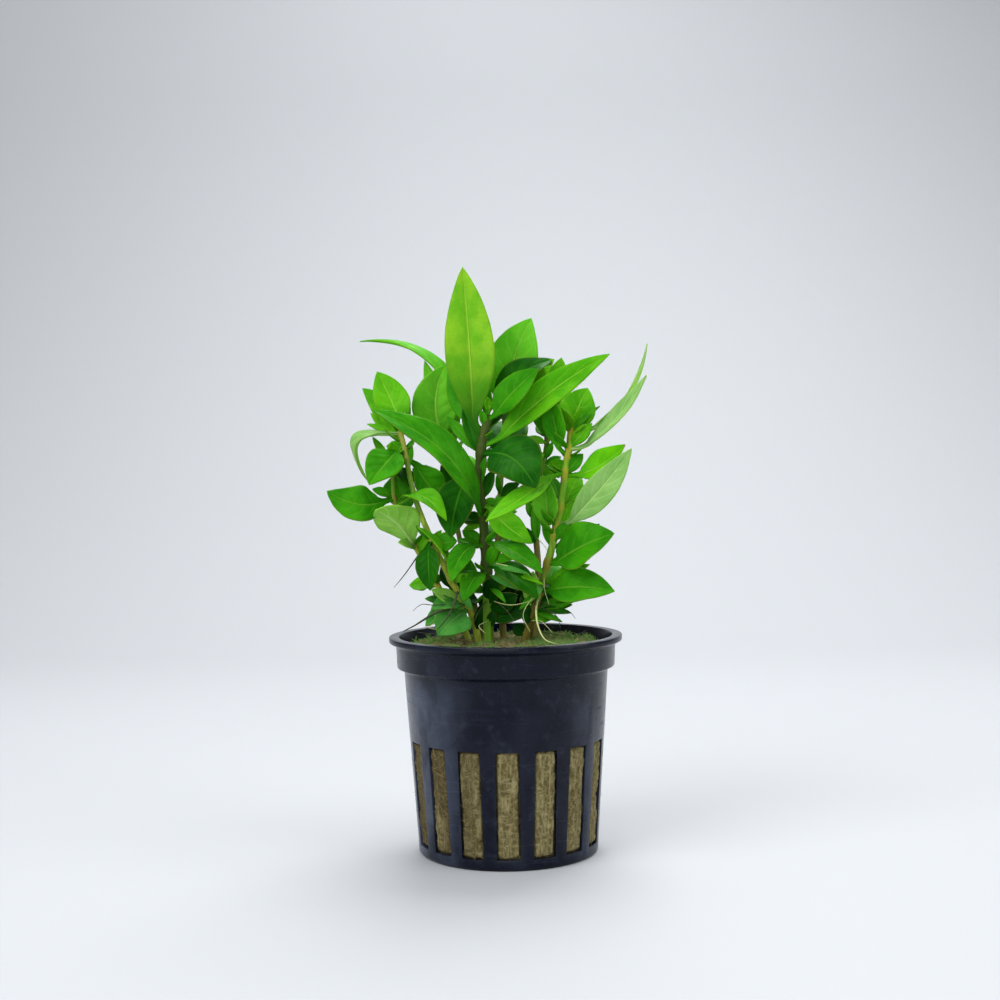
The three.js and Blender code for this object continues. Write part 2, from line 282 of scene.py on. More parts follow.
def makeLeafGroup():
    inputs = {
        "Blade": paint(90, 150, 40),
        "Shade": paint(70, 130, 30),
        "Midrib": paint(170, 200, 110),
        "Tip": paint(120, 84, 40),
        "Tip Share": 0.0,
        "Edge": paint(150, 146, 44),
        # painted shade: the dark green that a leaf takes on towards its foot
        "Foot": paint(18, 90, 12),
        "Foot Shade Share": 0.0,
        "Vein Pairs": float(veinSetup["pairs"]),
        "Vein Strength": 0.35,
    }
    tree, given = newGroup("leafBlade", inputs)
    split = tree.nodes.new("ShaderNodeSeparateXYZ")
    tree.links.new(tree.nodes.new("ShaderNodeTexCoord").outputs["UV"], split.inputs[0])
    along = split.outputs[1]
    centred = mathNode(tree, "SUBTRACT", split.outputs[0], 0.5)
    across = mathNode(tree, "MULTIPLY", mathNode(tree, "ABSOLUTE", centred), 2.0)
    ribWidth = mathNode(tree, "MULTIPLY_ADD", along, -0.07, 0.12)
    midrib = ramp(tree, mathNode(tree, "DIVIDE", across, ribWidth), 0.25, 1.0, 1.0, 0.0)
    bow = mathNode(tree, "MULTIPLY", mathNode(tree, "POWER", across, veinSetup["curve"]), veinSetup["bow"])
    wobble = mathNode(tree, "MULTIPLY_ADD", noiseNode(tree, 260, 2), 0.06, -0.03)
    place = mathNode(tree, "ADD", mathNode(tree, "SUBTRACT", along, bow), wobble)
    turn = mathNode(tree, "FRACT", mathNode(tree, "MULTIPLY", place, given["Vein Pairs"]))
    ridge = mathNode(tree, "ABSOLUTE", mathNode(tree, "SUBTRACT", turn, 0.5))
    fade = mathNode(tree, "MULTIPLY", ramp(tree, across, 0.98, 0.6), ramp(tree, along, 0.08, 0.25))
    veins = mathNode(tree, "MULTIPLY", ramp(tree, ridge, 0.38, 0.5), fade)
    patches = ramp(tree, noiseNode(tree, 170, 4), 0.38, 0.64)
    cells = noiseNode(tree, 1600, 1)
    color = mixColors(tree, patches, given["Blade"], given["Shade"])
    speckle = ramp(tree, cells, 0.2, 0.8, 0.93, 1.07)
    color = mixColors(tree, 1.0, color, speckle, "MULTIPLY")
    veinShare = mathNode(tree, "MULTIPLY", veins, given["Vein Strength"])
    color = mixColors(tree, veinShare, color, given["Midrib"])
    color = mixColors(tree, mathNode(tree, "MULTIPLY", midrib, 0.75), color, given["Midrib"])
    rim = ramp(tree, across, 0.92, 1.0)
    edgeShare = mathNode(tree, "MULTIPLY", rim, ramp(tree, along, 0.1, 0.3, 0.0, 0.2))
    color = mixColors(tree, edgeShare, color, given["Edge"])
    # painted shade: the blade darkens from its middle down to its foot
    footShadeMask = mathNode(tree, "MULTIPLY", ramp(tree, along, 0.06, 0.62, 1.0, 0.0), given["Foot Shade Share"])
    color = mixColors(tree, footShadeMask, color, given["Foot"])
    dryness = mathNode(tree, "MULTIPLY", ramp(tree, along, 0.93, 0.985), given["Tip Share"])
    color = mixColors(tree, dryness, color, given["Tip"])
    lines = mathNode(tree, "MULTIPLY_ADD", veins, -0.6, mathNode(tree, "MULTIPLY", midrib, -1.0))
    sunk = mathNode(tree, "MULTIPLY", lines, ramp(tree, along, 0.3, 0.8, 1.0, 0.0))
    height = mathNode(tree, "MULTIPLY_ADD", cells, 0.03, sunk)
    return endGroup(tree, {"Color": color, "Height": height, "Dullness": patches, "Foot Shade Mask": footShadeMask})


leafGroup = makeLeafGroup()

# "glow" is the colour of the light that comes through the leaf, and "through" its share; "veins" is
# how much the side veins show, "dry" how brown the tip is, and "foot" how far the painted shade at the foot
# reaches
usualLook = {"through": 0.30, "veins": 0.25, "dry": 0, "foot": 0.25}
leafFinish = {"roughness": 0.54, "specular": 0.06, "relief": 0.4, "depth": 0.15 * mm}
leafLooks = {  # each has the usual value for what it doesn't state
    "lime": {"blade": paint(130, 184, 42), "shade": paint(98, 168, 34), "midrib": paint(156, 204, 62),
             "glow": paint(160, 212, 34), "veins": 0.12, "foot": 0.92},
    "fresh": {"blade": paint(95, 174, 24), "shade": paint(72, 153, 18), "midrib": paint(138, 200, 58),
              "glow": paint(134, 214, 14)},
    "browned": {"blade": paint(100, 184, 16), "shade": paint(74, 160, 12), "midrib": paint(138, 200, 58),
                "glow": paint(134, 214, 14), "dry": 0.9},
    # painted light: a lighter green that makes these leaves look as if light falls on them
    "bright": {"blade": paint(106, 186, 46), "shade": paint(86, 168, 38), "midrib": paint(152, 216, 78),
               "glow": paint(140, 226, 24), "through": 0.32},
    "mid": {"blade": paint(62, 144, 18), "shade": paint(45, 121, 13), "midrib": paint(98, 164, 42),
            "glow": paint(104, 194, 12), "through": 0.26},
    # darker green, partly painted shade for leaves that lie in shade behind others
    "deep": {"blade": paint(32, 94, 8), "shade": paint(20, 74, 5), "midrib": paint(60, 124, 28),
             "glow": paint(66, 156, 8), "through": 0.20, "veins": 0.22},
    "cool": {"blade": paint(82, 156, 66), "shade": paint(62, 134, 52), "midrib": paint(112, 172, 88),
             "glow": paint(96, 184, 64), "through": 0.26},
    "shadow": {"blade": paint(16, 62, 5), "shade": paint(10, 48, 3), "midrib": paint(32, 80, 16),
               "glow": paint(40, 110, 8), "through": 0.12, "veins": 0.2},
    "pale": {"blade": paint(148, 190, 112), "shade": paint(130, 176, 98), "midrib": paint(190, 222, 150),
             "glow": paint(170, 224, 90), "veins": 0.4},
    "grey": {"blade": paint(158, 216, 92), "shade": paint(138, 200, 78), "midrib": paint(196, 232, 140),
             "glow": paint(170, 226, 84), "veins": 0.4},
}


def makeLeafMaterial(name, look):
    values = {
        "Blade": look["blade"],
        "Shade": look["shade"],
        "Midrib": look["midrib"],
        "Vein Strength": look["veins"],
        "Tip Share": look["dry"],
        "Foot Shade Share": look["foot"],
    }
    material = newMaterial("leaf_" + name, leafGroup, values, leafFinish)
    tree = material.node_tree
    shader = tree.nodes["Principled BSDF"]
    through = tree.nodes.new("ShaderNodeBsdfTranslucent")
    # the light through the leaf takes the same painted shade at the foot
    glow = mixColors(tree, tree.nodes["Group"].outputs["Foot Shade Mask"], look["glow"], look["shade"])
    tree.links.new(glow, through.inputs["Color"])
    blend = tree.nodes.new("ShaderNodeMixShader")
    blend.inputs[0].default_value = look["through"]
    tree.links.new(shader.outputs[0], blend.inputs[1])
    tree.links.new(through.outputs[0], blend.inputs[2])
    tree.links.new(blend.outputs[0], tree.nodes["Material Output"].inputs["Surface"])
    return material


leafMaterials = {name: makeLeafMaterial(name, {**usualLook, **look}) for name, look in leafLooks.items()}
print("leaf materials made")


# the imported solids' own lines: rings of corners from the foot to the tip

leafSides = 4
stemSides = 8
cornerWeld = 0.02 * mm


def ringsOf(name, sides):
    shape = bmesh.new()
    shape.from_mesh(nodes[name].data)
    bmesh.ops.remove_doubles(shape, verts=shape.verts, dist=cornerWeld)
    poles = [vertex for vertex in shape.verts if len(vertex.link_edges) == sides]

    def flatness(pole):
        around = [edge.other_vert(pole).co for edge in pole.link_edges]
        return (sum(around, Vector()) / sides - pole.co).length

    foot = min(poles, key=flatness if sides == leafSides else lambda pole: pole.co.z)
    rings, ring, seen = [], {foot}, {foot}
    while ring:
        rings.append([vertex.co.copy() for vertex in ring])
        ring = {edge.other_vert(vertex) for vertex in ring for edge in vertex.link_edges} - seen
        seen |= ring
    shape.free()
    return rings


def middleOf(points):
    return sum(points, Vector()) / len(points)


def stemOf(leafName):
    return "stem_" + leafName[len("leaf_"):].rsplit("_", 1)[0]


stemRings = {name: ringsOf(name, stemSides)[1:-1] for name in nodes if name.startswith("stem_")}
stemLines = {name: [middleOf(ring) for ring in rings] for name, rings in stemRings.items()}


def nearestOnLine(line, point):
    best = None
    for start, end in zip(line, line[1:]):
        step = end - start
        share = max(0, min(1, (point - start).dot(step) / step.length_squared))
        spot = start + step * share
        if best is None or (spot - point).length < (best - point).length:
            best = spot
    return best


def row(centre, face, half):
    return Vector((*centre, *face, half))


def rowAt(line, place):  # a smooth row between the line's own
    spot = place * (len(line) - 1)
    i = min(int(spot), len(line) - 2)
    t = spot - i
    a, b, c, d = (line[max(0, min(len(line) - 1, j))] for j in range(i - 1, i + 3))
    bend = (2 * a - 5 * b + 4 * c - d) * t * t
    sway = (3 * b - a - 3 * c + d) * t ** 3
    return 0.5 * (2 * b + (c - a) * t + bend + sway)


# leaves: one blade modelled flat, x from edge to edge and y from foot to tip, then bent along each line

leafShape = {
    "across": 14,
    "along": 42,
    "footHalf": 0.5 * mm,  # half the width where the leaf meets its stem
    "fold": 0.25,          # how far the edges rise, as a share of half the width
    "foldCurve": 1.4,
    "groove": 0.07,        # along the midrib
    "grooveSlope": 6,
    "bulge": 0.035,        # between the veins
    "wave": 0.07,          # of the edges
    "waves": (1.6, 2.8),   # along a leaf
    "phase": (0, 6.28),    # about a full turn
    "thickness": 0.3 * mm,
    "weld": 0.01 * mm,
}
ribShape = {
    "sides": 8,
    "steps": 24,
    "radius": 0.5 * mm,
    "reach": 0.93,         # of the leaf's length
    "taper": 0.85,
    "sink": 0.6,           # below the blade, as a share of its radius
    "weld": 0.005 * mm,
}
youngShape = {"across": 6, "along": 14, "ribSides": 5, "ribSteps": 8}


# A leaf's line is a row for each ring: its middle, the way its upper side looks and half its width.
def leafLine(name):
    rings = ringsOf(name, leafSides)
    rows = []
    for ring in rings[1:-1]:
        first, second = max(itertools.combinations(ring, 2), key=lambda pair: (pair[0] - pair[1]).length)
        top, under = (corner for corner in ring if corner not in (first, second))
        centre = (top + under) / 2
        face = (top - under).normalized()
        if face.dot((first + second) / 2 - centre) < 0:
            face = -face
        rows.append(row(centre, face, (first - second).length / 2))
    rows.append(row(rings[-1][0], rows[-1][3:6], 0))
    foot = nearestOnLine(stemLines[stemOf(name)], Vector(rows[0][:3]))
    return [row(foot, rows[0][3:6], leafShape["footHalf"])] + rows[1:]


# the middle of a leaf at a place, its way to the right, its face and half its width
def frameAt(line, place, stride=0.01):
    here = rowAt(line, place)
    ahead = rowAt(line, min(place + stride, 1)) - rowAt(line, max(place - stride, 0))
    forward = Vector(ahead[:3]).normalized()
    face = Vector(here[3:6])
    face = (face - forward * face.dot(forward)).normalized()
    return Vector(here[:3]), forward.cross(face), face, max(here[6], 0)


def makeBlade(name, across, along):
    deselectAll()
    bpy.ops.mesh.primitive_grid_add(x_subdivisions=across, y_subdivisions=along, size=2)
    blade = bpy.context.object
    blade.name = name
    for vertex in blade.data.vertices:
        x, y = vertex.co.x, vertex.co.y / 2 + 0.5
        edge = abs(x)
        bow = veinSetup["bow"] * edge ** veinSetup["curve"]
        vein = math.cos(2 * math.pi * veinSetup["pairs"] * (y - bow))
        rise = leafShape["fold"] * edge ** leafShape["foldCurve"]
        start = min(1, 4 * y)  # no bulge at the foot, and all of it from a quarter of the length on
        rise += leafShape["bulge"] * math.sin(math.pi * edge) * (1 - vein) * start
        rise -= leafShape["groove"] * max(0, 1 - leafShape["grooveSlope"] * edge)
        vertex.co = (x, y, rise)
    return blade


def makeRib(name, sides, steps):  # the stalk and midrib under a blade
    deselectAll()
    bpy.ops.mesh.primitive_grid_add(x_subdivisions=sides, y_subdivisions=steps, size=2)
    rib = bpy.context.object
    rib.name = name
    for vertex in rib.data.vertices:
        turn = math.pi * vertex.co.x
        vertex.co = (math.sin(turn), vertex.co.y / 2 + 0.5, math.cos(turn))
    return rib


blade = makeBlade("blade", leafShape["across"], leafShape["along"])
youngBlade = makeBlade("young_blade", youngShape["across"], youngShape["along"])
rib = makeRib("rib", ribShape["sides"], ribShape["steps"])
youngRib = makeRib("young_rib", youngShape["ribSides"], youngShape["ribSteps"])


def copyOf(thing, name):
    copy = thing.copy()
    copy.data = thing.data.copy()
    copy.name = name
    bpy.context.scene.collection.objects.link(copy)
    return copy


def paintedCopy(master, name, look, under):
    piece = copyOf(master, name)
    piece.data.materials.append(leafMaterials[look])
    piece.data.materials.append(leafMaterials[under])
    return piece


def bendBlade(leaf, line, seed):
    dice = random.Random(seed)
    phases = [dice.uniform(*leafShape["phase"]), dice.uniform(*leafShape["phase"])]
    waves = dice.uniform(*leafShape["waves"])
    frames = {}
    for vertex in leaf.data.vertices:
        x, y, rise = vertex.co
        if y not in frames:
            frames[y] = frameAt(line, y)
        centre, right, face, half = frames[y]
        phase = phases[0] if x > 0 else phases[1]
        wave = leafShape["wave"] * x * x * math.sin(2 * math.pi * waves * y + phase)
        vertex.co = centre + right * (x * half) + face * (half * (rise + wave))
    weld(leaf, leafShape["weld"])
    bpy.ops.object.mode_set(mode="OBJECT")


def bendRib(stem, line, thickest):
    for vertex in stem.data.vertices:
        x, y, z = vertex.co
        centre, right, face, half = frameAt(line, y * ribShape["reach"])
        radius = thickest * (1 - ribShape["taper"] * y)
        vertex.co = centre + right * (x * radius) + face * (z * radius - ribShape["sink"] * radius)
    for face in stem.data.polygons:
        face.material_index = 1
    for corner in stem.data.uv_layers[0].data:
        corner.uv = (0.5, corner.uv[1])  # the midrib's colour all round
    weld(stem, ribShape["weld"])
    bpy.ops.mesh.select_non_manifold(extend=False)
    bpy.ops.mesh.fill()
    bpy.ops.mesh.select_all(action="SELECT")
    bpy.ops.mesh.normals_make_consistent(inside=False)
    bpy.ops.object.mode_set(mode="OBJECT")


def growLeaf(name, line, look, seed, masters, under, ribRadius):
    leaf = paintedCopy(masters[0], name, look, under)
    bendBlade(leaf, line, seed)
    applyModifier(leaf, "SOLIDIFY", thickness=leafShape["thickness"], offset=0, material_offset=1)
    stem = paintedCopy(masters[1], name + "_rib", look, under)
    bendRib(stem, line, ribRadius)
    whole = joined([leaf, stem], name)
    bpy.ops.object.shade_smooth()
    return whole


# each stem's leaves in the order of their numbers
leafLooksOf = {
    "main": "lime mid mid fresh mid deep mid deep deep mid mid fresh",
    "left": "fresh fresh pale mid mid fresh deep cool cool",
    "left_low": "fresh mid mid grey fresh cool",
    "right": "fresh pale pale mid browned fresh pale mid mid bright fresh",
    "right_back": "fresh mid mid mid",
    "back": "bright deep deep mid",
    "back_left": "fresh bright fresh mid",
}


def dressLeaves():
    seed = 0
    for stem, looks in leafLooksOf.items():
        for number, look in enumerate(looks.split(), 1):
            seed += 1
            name = f"leaf_{stem}_{number}"
            under = "grey" if look == "pale" else look
            line = leafLine(name)
            leaf = growLeaf(name + "_fine", line, look, seed, (blade, rib), under, ribShape["radius"])
            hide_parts(name)
            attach(leaf, "root")


dressLeaves()
print("leaves grown")


# tubes along points, for stems, roots and fibres

def addTubes(name, strands, resolution):
    curve = bpy.data.curves.new(name, "CURVE")
    curve.dimensions = "3D"
    curve.bevel_depth = 1
    curve.bevel_resolution = resolution
    curve.use_fill_caps = True
    for points, radii in strands:
        spline = curve.splines.new("POLY")
        spline.points.add(len(points) - 1)
        for place, point, radius in zip(spline.points, points, radii):
            place.co = (*point, 1)
            place.radius = radius
    tubes = bpy.data.objects.new(name, curve)
    bpy.context.scene.collection.objects.link(tubes)
    useOnly(tubes)
    bpy.ops.object.convert(target="MESH")
    bpy.ops.object.shade_smooth()
    return bpy.context.object


def smoothLine(points, count):
    line = [Vector(point) for point in points]
    return [rowAt(line, i / (count - 1)) for i in range(count)]


# stems

def makeStemGroup():
    inputs = {
        "Low": paint(130, 140, 60),
        "High": paint(110, 100, 50),
        "Knot": paint(150, 100, 40),
        "Change Height": 0.065,
    }
    tree, given = newGroup("stemSkin", inputs)
    above = mathNode(tree, "SUBTRACT", placeNode(tree, "Z"), given["Change Height"])
    wander = mathNode(tree, "MULTIPLY_ADD", noiseNode(tree, 300, 3), 0.02, -0.01)
    share = ramp(tree, mathNode(tree, "ADD", above, wander), -0.008, 0.008)
    color = mixColors(tree, share, given["Low"], given["High"])
    streaks = ramp(tree, noiseNode(tree, 1500, 3, (1, 1, 0.12)), 0.3, 0.7, 0.72, 1.2)
    color = mixColors(tree, 1.0, color, streaks, "MULTIPLY")
    knot = tree.nodes.new("ShaderNodeAttribute")
    knot.attribute_name = "knot"
    color = mixColors(tree, mathNode(tree, "MULTIPLY", knot.outputs["Fac"], 0.8), color, given["Knot"])
    height = noiseNode(tree, 2200, 3, (1, 1, 0.15))
    return endGroup(tree, {"Color": color, "Height": height, "Dullness": streaks})


stemGroup = makeStemGroup()

# the low colour turns into the high one at the change height, in metres
stemLooks = {
    "main": {"Low": paint(84, 128, 28), "High": paint(54, 74, 14),
             "Knot": paint(56, 56, 18), "Change Height": 0.062},
    "left": {"Low": paint(164, 180, 62), "High": paint(104, 140, 44),
             "Knot": paint(134, 112, 48), "Change Height": 0.075},
    "right": {"Low": paint(92, 88, 34), "High": paint(100, 150, 32),
              "Knot": paint(172, 128, 44), "Change Height": 0.067},
    "back": {"Low": paint(104, 100, 44), "High": paint(90, 124, 38),
             "Knot": paint(104, 84, 40), "Change Height": 0.078},
}
stemLookOf = {
    "stem_main": "main", "stem_left": "left", "stem_left_low": "left", "stem_right": "right",
    "stem_right_back": "back", "stem_back": "back", "stem_back_left": "back",
}
stemFinish = {"roughness": 0.5, "specular": 0.2, "relief": 0.5, "depth": 0.15 * mm}


stemMaterials = {
    name: newMaterial("stem_" + name, stemGroup, look, stemFinish) for name, look in stemLooks.items()
}
stemShape = {
    "step": 0.6 * mm,      # along the stem
    "resolution": 4,
    "foot": 0.85,          # radius at the foot, as a share of the solid's widest
    "swelling": 0.3,       # at a leaf's knot, as a share of the radius
    "knotLength": 1.0 * mm,
    "knotColor": 1.2,      # reach of the knot's colour, as a share of its length
    "tipStart": 0.98,      # past this share of the length the tip narrows
    "tip": 0.5,
}


def nearKnots(point, knots, reach):  # 1 at a knot, and 0 far from all of them
    near = min((point - knot).length for knot in knots)
    return math.exp(-((near / reach) ** 2))


def ringRadius(ring, centre):
    return sum((corner - centre).length for corner in ring) / len(ring)


def dressStem(name):
    line = stemLines[name]
    radii = [ringRadius(ring, centre) for ring, centre in zip(stemRings[name], line)]
    leafNames = [leaf for leaf in nodes if leaf.startswith("leaf_") and stemOf(leaf) == name]
    knots = [Vector(leafLine(leaf)[0][:3]) for leaf in leafNames]
    length = sum((end - start).length for start, end in zip(line, line[1:]))
    count = int(length / stemShape["step"])
    thickness = min(radii[1:-1])
    widest = max(radii)
    points = smoothLine(line, count)
    sizes = []
    for i, point in enumerate(points):
        share = i / (count - 1)
        knot = nearKnots(point, knots, stemShape["knotLength"])
        size = widest * stemShape["foot"] * (1 - share) + thickness * share
        end = 1 if share < stemShape["tipStart"] else stemShape["tip"]
        sizes.append(size * (1 + stemShape["swelling"] * knot) * end)
    stem = addTubes(name + "_fine", [(points, sizes)], stemShape["resolution"])
    shade = stem.data.attributes.new("knot", "FLOAT", "POINT")
    for vertex, value in zip(stem.data.vertices, shade.data):
        value.value = nearKnots(vertex.co, knots, stemShape["knotColor"] * stemShape["knotLength"])
    stem.data.materials.append(stemMaterials[stemLookOf[name]])
    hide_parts(name)
    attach(stem, "root")


for stemName in stemRings:
    dressStem(stemName)
print("stems dressed")


# young leaves, bent like the others; each stands on its stem at a height and ends at a tip

# half the width at places from foot to tip, as a share of the widest
youngOutline = [(0, 0.14), (0.14, 0.3), (0.3, 0.78), (0.5, 1), (0.7, 0.84), (0.88, 0.42), (1, 0)]
lineSteps = 80  # points tried along a stem


def stemPoint(stem, height):
    return min(smoothLine(stemLines[stem], lineSteps), key=lambda point: abs(point.z - height))


def youngLine(foot, tip, half, face, arch):
    face = Vector(face).normalized()
    rows = []
    for place, share in youngOutline:
        centre = foot.lerp(tip, place) + face * (4 * arch * place * (1 - place))
        rows.append(row(centre, face, half * share))
    return rows


# stem, height on it, tip, half width (all mm) and look, for the young leaves that show between the others
youngLeaves = [
    ("left", 95, (-31, 6, 102), 1.3, "fresh"),
    ("main", 92, (-13, 3, 101), 1.4, "mid"),
    ("main", 91, (-9, 2, 103.5), 1.6, "deep"),
    ("main", 99, (-3.5, 2, 109), 1.3, "mid"),
    ("main", 97, (1, 4, 102), 1.1, "deep"),
    ("right_back", 86, (15, 3, 90), 2.0, "fresh"),
    ("right_back", 92, (7, 5, 89.5), 1.0, "fresh"),
    ("main", 78, (0.5, -1, 82), 1.0, "mid"),
    ("right", 73, (16.5, -2, 81.5), 1.5, "fresh"),
    ("right", 70, (22, -5, 75.5), 1.6, "deep"),
    ("right_back", 70, (7, 8, 79.5), 1.2, "mid"),
    ("main", 65, (-1, -4, 72), 1.5, "mid"),
    ("main", 76, (-10, 2, 77), 1.8, "deep"),
    ("main", 70, (-11, 3, 72), 1.2, "mid"),
    ("left", 57, (-15, 5, 67), 2.0, "deep"),
    ("left", 55, (-17, -3, 61), 1.9, "grey"),
    ("main", 57, (-1, -3, 63.5), 2.4, "shadow"),
    ("main", 55, (3, -4, 59.5), 2.3, "shadow"),
    ("main", 53, (6, -4, 55.5), 2.2, "shadow"),
    ("back", 56, (3.5, 4, 63), 2.4, "shadow"),
    ("back", 57, (-3.5, 5, 60.5), 2.2, "shadow"),
    ("back", 54, (7, 3, 57), 2.4, "shadow"),
    ("back", 58, (0, 6, 67), 2.0, "mid"),
    ("right", 55, (5.5, -3, 60.5), 2.3, "shadow"),
    ("right", 54, (3.5, -5, 55), 2.0, "shadow"),
    ("right", 57, (10, 2, 61.5), 2.0, "shadow"),
    ("right_back", 57, (11, 2, 57), 2.2, "shadow"),
    ("right_back", 56, (6, 0, 62.5), 2.2, "shadow"),
    ("right_back", 58, (13.5, 4, 60), 2.0, "mid"),
    ("right", 56, (16.5, -3, 58), 1.4, "mid"),
    ("right", 55, (15.5, -4, 57), 1.2, "deep"),
    ("right", 54, (11, -5, 54), 1.1, "mid"),
    ("right", 57, (14.5, 0, 59), 1.5, "shadow"),
    ("right", 55, (6.5, -5, 65), 2.2, "grey"),
    ("main", 60, (1, -3, 62), 1.3, "fresh"),
    ("main", 60, (-10, -2, 62), 1.3, "mid"),
    ("left_low", 54, (-17.2, 2, 56.5), 1.4, "mid"),
    ("left_low", 55, (-17, 4, 60), 1.6, "deep"),
    ("back_left", 58, (-13, 6, 66), 2.0, "shadow"),
    ("back_left", 60, (-8, 8, 67), 2.0, "mid"),
    ("left", 58, (-6.5, 3, 58), 2.0, "shadow"),
    ("left_low", 88, (-30.5, 4, 96.5), 1.0, "fresh"),
    ("main", 81, (-2.1, -1, 88.4), 1.5, "deep"),
    ("main", 71, (-9.7, 0, 74.3), 1.6, "mid"),
    ("left", 71, (-10.8, -3, 72), 2.5, "mid"),
    ("left_low", 69, (-17.7, 2, 72.8), 1.4, "fresh"),
    ("left", 84, (-24, 2, 89.1), 1.8, "deep"),
    ("back", 81, (3.8, 7, 84.9), 1.7, "deep"),
    ("right_back", 88, (13.9, 9.5, 91), 1.1, "mid"),
    ("right_back", 90, (11.8, 9, 94.6), 0.9, "mid"),
    ("right", 93, (20.7, -2, 98.6), 1.7, "fresh"),
    ("back", 52, (-6.3, 7, 58), 2.2, "shadow"),
    ("left", 50, (-5.6, 1, 57), 1.3, "shadow"),
    ("back", 54, (4.6, 5, 59.5), 2.4, "shadow"),
    ("right", 50, (2, -2, 52.5), 1.6, "shadow"),
    ("main", 51, (-2.2, -1, 56), 1.2, "shadow"),
    ("left", 96, (-21.9, 6, 104.7), 1.6, "fresh"),
    ("back", 102, (12.5, 6, 114.1), 2.8, "fresh"),
    ("back", 100, (11.6, 2, 112.4), 2.6, "fresh"),
    ("right_back", 94, (5.5, 5, 95.7), 0.9, "fresh"),
    ("right", 86.5, (18.5, -3, 91.6), 1.6, "mid"),
    ("right_back", 76, (5.4, 8, 80.6), 1.2, "mid"),
    ("right_back", 70, (4.3, 8, 74.6), 1.0, "deep"),
    ("main", 77, (3.1, -3, 78.5), 1.5, "mid"),
    ("right", 70, (9, -3, 76), 1.0, "mid"),
    ("main", 75, (-9.5, 2, 76.3), 1.3, "fresh"),
    ("main", 67, (2.7, -6, 68.2), 1.2, "mid"),
    ("left", 60, (-14.8, 3, 66), 2.0, "shadow"),
    ("left", 94, (-27, 1, 94), 1.2, "mid"),
    ("left", 88, (-21.3, 2, 94.9), 0.9, "mid"),
    ("left_low", 82, (-30.4, 0, 84.2), 1.1, "mid"),
    ("main", 68, (9, -12, 62.2), 0.8, "fresh"),
    ("main", 66, (5.7, -12.5, 64.8), 0.7, "cool"),
    ("main", 64, (3.6, -10, 61), 0.8, "cool"),
    ("main", 61, (0.2, -8, 58), 0.7, "mid"),
    ("right", 62, (6.3, -11, 58.8), 0.9, "cool"),
    ("right", 60, (3.2, -9, 56.5), 0.8, "mid"),
    ("right", 56, (15.2, -5, 55.2), 1.0, "deep"),
    ("right", 55, (13, -7, 53.4), 0.8, "mid"),
    ("left", 62, (-8.2, -6, 64.5), 0.9, "fresh"),
    ("left", 60, (-7.4, -5, 56), 0.9, "cool"),
    ("left_low", 57, (-18.6, 0, 58.6), 1.0, "cool"),
    ("left_low", 68, (-14.5, 1, 74.5), 1.3, "fresh"),
    ("main", 76, (-9.4, 0, 74.4), 0.9, "fresh"),
    ("back_left", 95, (-18.3, 11, 114.6), 2.2, "bright"),
    ("back_left", 80, (-14.7, 8, 89.6), 1.6, "deep"),
    ("right", 80, (11.1, 1, 86.6), 1.5, "mid"),
    ("back_left", 74, (-15.6, 3, 78.4), 1.7, "fresh"),
    ("main", 98, (-4.9, -2, 102), 1.0, "mid"),
    ("main", 84, (-3.8, -3, 91.6), 0.9, "mid"),
    ("back", 82, (-1.4, 8, 87.2), 0.7, "mid"),
    ("main", 80, (-1.5, -1, 81.3), 1.0, "mid"),
    ("right", 96, (22.9, 3, 102.7), 0.7, "mid"),
    ("left", 96, (-31.6, 3, 99.4), 0.9, "fresh"),
    ("left_low", 70, (-24.4, -3, 71.9), 1.3, "grey"),
    ("right", 62, (19.4, -8, 66.5), 1.5, "fresh"),
    ("right", 71, (15.8, -6, 75.9), 1.4, "mid"),
]


youngSetup = {
    "seed": 31,
    "sideways": (-0.3, 0.3),       # with the next two, the way its upper side looks
    "forward": -0.85,
    "up": (0.2, 0.6),
    "arch": (0.3, 1.2),            # mm
    "stalk": 0.35 * mm,
}
# buds at each stem's top, a small leaf or two in each leaf's axil, and more up the stems at the back
budSetup = {
    "seed": 12,
    "tops": 4,
    "topRise": (1.2, 2.5),         # upwards for one outwards
    "rise": (0.5, 0.9),
    "length": (3, 6),              # mm
    "rearStems": ["back", "back_left", "right_back"],
    "rearFrom": 8,                 # rings of the stem's solid
    "rearEvery": 6,
    "rearTurn": (0.25, 0.75),      # in half turns, so away from the viewer
    "rearLength": (7, 11),         # mm
    "width": 0.22,                 # half of it, as a share of the length
    "arch": -0.1,
    "stalk": 0.25 * mm,
}


def growYoung(line, look, seed, stalk):
    return growLeaf("young", line, look, seed, (youngBlade, youngRib), look, stalk)


def growShown(grown):
    dice = random.Random(youngSetup["seed"])
    for stem, height, tip, half, look in youngLeaves:
        foot = stemPoint("stem_" + stem, height * mm)
        sideways = dice.uniform(*youngSetup["sideways"])
        face = (sideways, youngSetup["forward"], dice.uniform(*youngSetup["up"]))
        arch = dice.uniform(*youngSetup["arch"]) * mm
        line = youngLine(foot, Vector(tip) * mm, half * mm, face, arch)
        leaf = growYoung(line, look, dice.random(), youngSetup["stalk"])
        grown.setdefault(stem, []).append(leaf)


def growBud(dice, foot, onTop, rear):
    turn = dice.uniform(0, 2 * math.pi)
    up = dice.uniform(*budSetup["topRise" if onTop else "rise"])
    length = dice.uniform(*budSetup["length"]) * mm
    if rear:
        turn = dice.uniform(*budSetup["rearTurn"]) * math.pi
        length = dice.uniform(*budSetup["rearLength"]) * mm
    way = Vector((math.cos(turn), math.sin(turn), up)).normalized()
    across = way.cross(Vector((0, 0, 1))).normalized()
    face = across.cross(way).normalized() * (-1 if onTop else 1)
    line = youngLine(foot, foot + way * length, budSetup["width"] * length, face, budSetup["arch"] * length)
    return growYoung(line, "fresh" if onTop else "mid", dice.random(), budSetup["stalk"])


